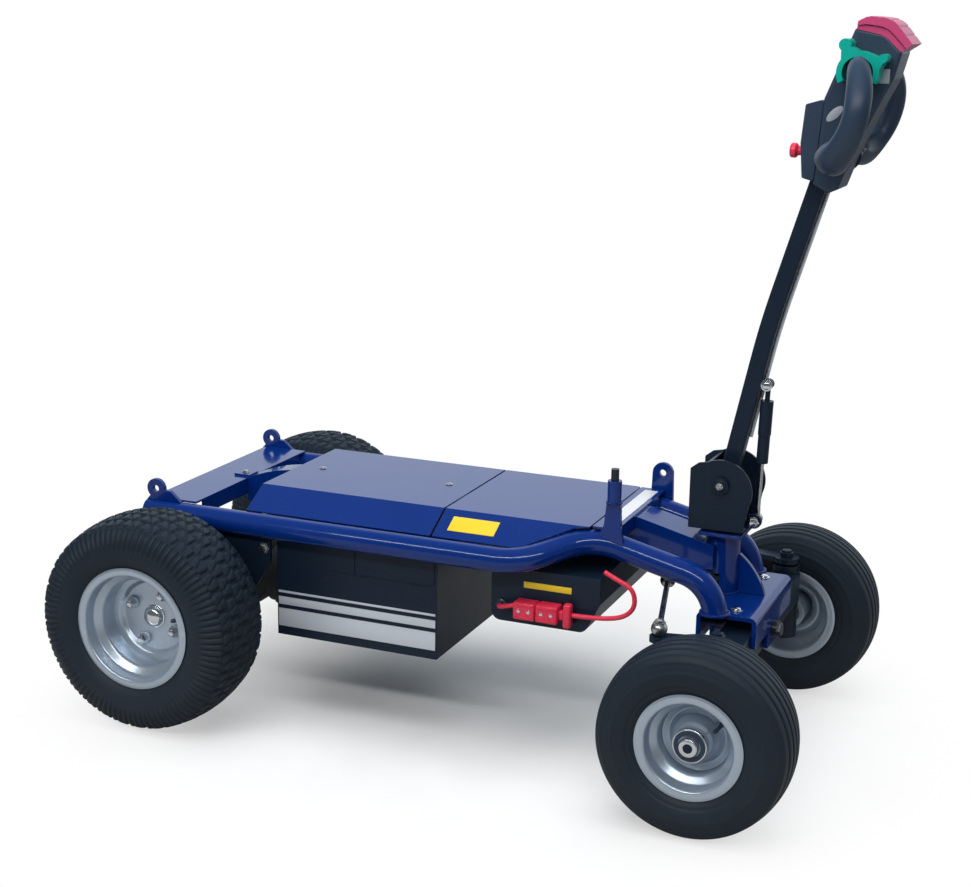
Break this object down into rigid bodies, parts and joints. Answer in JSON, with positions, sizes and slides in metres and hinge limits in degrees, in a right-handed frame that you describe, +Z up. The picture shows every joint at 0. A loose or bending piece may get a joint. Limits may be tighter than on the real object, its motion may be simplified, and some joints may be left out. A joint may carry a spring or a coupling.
{
  "type": "electric material trolley",
  "caption": "Low tube-frame electric trolley with folded deck covers, slung battery box, tiller steering and air-filled wheels.",
  "frame": {"origin": "on the floor under the middle of the overall box", "axes": "+X forward to the tiller end, +Y to the trolley's left, +Z up"},
  "size_m": [1.4705, 0.835, 1.3089],
  "materials": {
    "frame_blue": "gloss",
    "black_paint": "satin",
    "rim_silver": "satin",
    "tyre": "matte",
    "black_plastic": "matte",
    "red_plastic": "gloss",
    "green_plastic": "gloss",
    "battery": "matte",
    "steel": "satin",
    "cast_black": "matte"
  },
  "bodies": {
    "chassis": {"arch_plate": "frame_blue", "axle_brackets": "black_paint", "axle_channel": "frame_blue", "axle_pivot_bolt": "steel", "battery_block": "battery", "battery_box": "black_paint", "column_rib": "frame_blue", "column_tube": "frame_blue", "cover_front": "frame_blue", "cover_rear": "frame_blue", "drive_motor": "cast_black", "electronics_box": "black_paint", "front_axle": "black_paint", "front_cross_bar": "frame_blue", "front_lugs": "frame_blue", "lock_pin": "steel", "neck": "frame_blue", "power_connector": "red_plastic", "power_lead": "red_plastic", "rear_axle": "cast_black", "rear_cross_plate": "frame_blue", "rear_lugs": "frame_blue", "short_lead": "red_plastic", "side_tubes": "frame_blue"},
    "steering": {"steering_shaft": "black_paint", "steering_housing": "black_paint"},
    "tiller": {"tiller_hub": "black_paint", "tiller_tube": "black_paint", "control_head": "black_plastic", "switch_box": "black_plastic", "safety_bar": "red_plastic", "grip_loops": "black_plastic", "paddles": "green_plastic"},
    "gas_cylinder": {"gas_cylinder": "black_paint"},
    "gas_rod": {"gas_rod": "steel"},
    "knuckle_left": {"knuckle_left": "black_paint"},
    "tie_rod_left": {"tie_rod_left": "steel"},
    "wheel_rear_left": {"tyre_rear_left": "tyre", "rim_rear_left": "rim_silver"},
    "wheel_front_left": {"tyre_front_left": "tyre", "rim_front_left": "rim_silver"},
    "knuckle_right": {"knuckle_right": "black_paint"},
    "tie_rod_right": {"tie_rod_right": "steel"},
    "wheel_rear_right": {"tyre_rear_right": "tyre", "rim_rear_right": "rim_silver"},
    "wheel_front_right": {"tyre_front_right": "tyre", "rim_front_right": "rim_silver"}
  },
  "joints": [
    {"name": "steering", "type": "hinge", "parent": "chassis", "child": "steering", "pos_m": [0.459, 0, 0.35], "axis": [0, 0, 1], "range_deg": [-35, 35]},
    {"name": "tiller_tilt", "type": "hinge", "parent": "steering", "child": "tiller", "pos_m": [0.461, 0, 0.507], "axis": [0, 1, 0], "range_deg": [0, 60]},
    {"name": "gas_swing", "type": "hinge", "parent": "tiller", "child": "gas_cylinder", "pos_m": [0.524, 0, 0.685], "axis": [0, 1, 0], "range_deg": [-10, 0]},
    {"name": "gas_slide", "type": "slide", "parent": "gas_cylinder", "child": "gas_rod", "axis": [0.0287, 0, 0.9996], "range_m": [0, 0.082]},
    {"name": "knuckle_left", "type": "hinge", "parent": "chassis", "child": "knuckle_left", "pos_m": [0.52, 0.25, 0.24], "axis": [0, 0, 1], "range_deg": [-35, 35]},
    {"name": "tie_rod_left", "type": "hinge", "parent": "knuckle_left", "child": "tie_rod_left", "pos_m": [0.425, 0.27, 0.309], "axis": [0, 0, 1], "range_deg": [-35, 35]},
    {"name": "wheel_front_left", "type": "hinge", "parent": "knuckle_left", "child": "wheel_front_left", "pos_m": [0.52, 0.35, 0.165], "axis": [0, 1, 0], "continuous": true},
    {"name": "wheel_rear_left", "type": "hinge", "parent": "chassis", "child": "wheel_rear_left", "pos_m": [-0.532, 0.335, 0.203], "axis": [0, 1, 0], "continuous": true},
    {"name": "knuckle_right", "type": "hinge", "parent": "chassis", "child": "knuckle_right", "pos_m": [0.52, -0.25, 0.24], "axis": [0, 0, 1], "range_deg": [-35, 35]},
    {"name": "tie_rod_right", "type": "hinge", "parent": "knuckle_right", "child": "tie_rod_right", "pos_m": [0.425, -0.27, 0.309], "axis": [0, 0, 1], "range_deg": [-35, 35]},
    {"name": "wheel_front_right", "type": "hinge", "parent": "knuckle_right", "child": "wheel_front_right", "pos_m": [0.52, -0.35, 0.165], "axis": [0, 1, 0], "continuous": true},
    {"name": "wheel_rear_right", "type": "hinge", "parent": "chassis", "child": "wheel_rear_right", "pos_m": [-0.532, -0.335, 0.203], "axis": [0, 1, 0], "continuous": true}
  ],
  "couplings": [
    {"joint": "gas_swing", "follows": "tiller_tilt", "ratio": -0.155},
    {"joint": "gas_slide", "follows": "tiller_tilt", "m_per_rad": 0.0764},
    {"joint": "knuckle_left", "follows": "steering", "ratio": 1},
    {"joint": "tie_rod_left", "follows": "steering", "ratio": -1},
    {"joint": "knuckle_right", "follows": "steering", "ratio": 1},
    {"joint": "tie_rod_right", "follows": "steering", "ratio": -1}
  ]
}
